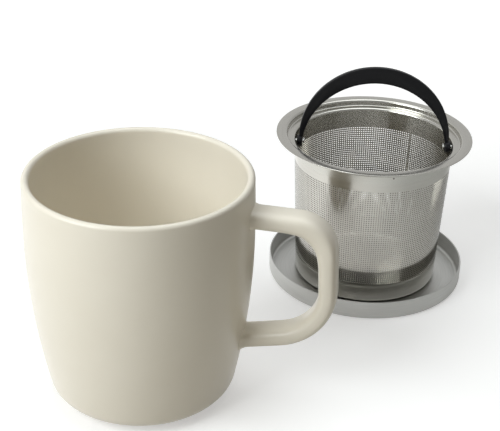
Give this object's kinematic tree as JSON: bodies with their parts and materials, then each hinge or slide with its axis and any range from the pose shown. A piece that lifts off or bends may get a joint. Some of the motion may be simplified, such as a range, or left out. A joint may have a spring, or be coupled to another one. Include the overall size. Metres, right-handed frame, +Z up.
{
  "type": "lidded tea mug with infuser",
  "caption": "Stoneware tea mug with a strap handle, a lift-out steel infuser with a swinging bail, and a round steel lid that doubles as a coaster.",
  "frame": {"origin": "centre of the mug's foot, on the surface that the set stands on", "axes": "+Z up along the mug's axis, +X along the mug's handle, lid and infuser towards +X +Y"},
  "size_m": [0.1794, 0.2105, 0.1085],
  "materials": {
    "stoneware": "satin glaze",
    "lid_steel": "satin",
    "infuser_steel": "bright satin",
    "bail_plastic": "satin black",
    "pin_steel": "polished"
  },
  "bodies": {
    "mug": {"mug_body": "stoneware", "mug_handle": "stoneware"},
    "lid": {"lid": "lid_steel"},
    "infuser": {"infuser_rim": "infuser_steel", "infuser_wall": "infuser_steel", "infuser_base": "infuser_steel", "bail_pin_right": "pin_steel", "bail_pin_left": "pin_steel"},
    "bail": {"bail": "bail_plastic"}
  },
  "joints": [
    {"name": "lid_lift", "type": "slide", "parent": "mug", "child": "lid", "axis": [0, 0, 1], "range_m": [0, 0.12]},
    {"name": "infuser_lift", "type": "slide", "parent": "lid", "child": "infuser", "axis": [0, 0, 1], "range_m": [0, 0.11]},
    {"name": "bail_swing", "type": "hinge", "parent": "infuser", "child": "bail", "pos_m": [0.0847, 0.1166, 0.0696], "axis": [0.9925, 0.1219, 0], "range_deg": [-82, 82]}
  ]
}
